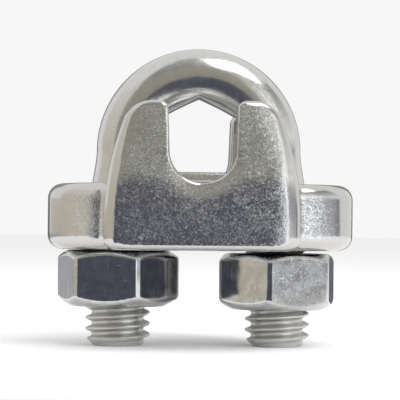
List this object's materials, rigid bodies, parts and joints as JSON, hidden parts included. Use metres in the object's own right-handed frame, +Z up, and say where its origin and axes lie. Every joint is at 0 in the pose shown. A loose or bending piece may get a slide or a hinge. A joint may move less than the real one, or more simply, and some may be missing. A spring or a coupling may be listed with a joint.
{
  "type": "wire rope clip",
  "caption": "Wire rope clip: a U-bolt with threaded legs, a cast saddle that slides on them, and hexagon nuts that draw it up to grip a 5 mm rope.",
  "frame": {"origin": "on the floor that the legs' ends stand on, midway between the two legs", "axes": "+Z up, from the legs' ends to the crown of the bow; +X across both legs, towards the right nut; the rope runs along Y, and the front is at -Y"},
  "size_m": [0.028, 0.021, 0.0272],
  "materials": {
    "bolt_steel": "bright drawn stainless steel bar with cut threads",
    "cast_steel": "tumbled cast stainless steel, bright on the rounded edges and finely pitted on the faces",
    "nut_steel": "smooth bright stainless steel with fine handling scratches"
  },
  "bodies": {
    "u_bolt": {"u_bolt": "bolt_steel"},
    "saddle": {"saddle": "cast_steel"},
    "left_nut": {"left_nut": "nut_steel"},
    "right_nut": {"right_nut": "nut_steel"}
  },
  "joints": [
    {"name": "saddle_slide", "type": "slide", "parent": "u_bolt", "child": "saddle", "axis": [0, 0, 1], "range_m": [-0.0034, 0.002]},
    {"name": "left_nut_turn", "type": "hinge", "parent": "saddle", "child": "left_nut", "pos_m": [-0.0073, 0, 0.00615], "axis": [0, 0, 1], "range_deg": [-1224.1, 720.1]},
    {"name": "right_nut_turn", "type": "hinge", "parent": "saddle", "child": "right_nut", "pos_m": [0.0073, 0, 0.00595], "axis": [0, 0, 1], "range_deg": [-1224.1, 720.1]}
  ],
  "couplings": [
    {"joint": "left_nut_turn", "follows": "saddle_slide", "rad_per_m": 6283.2},
    {"joint": "right_nut_turn", "follows": "saddle_slide", "rad_per_m": 6283.2}
  ]
}
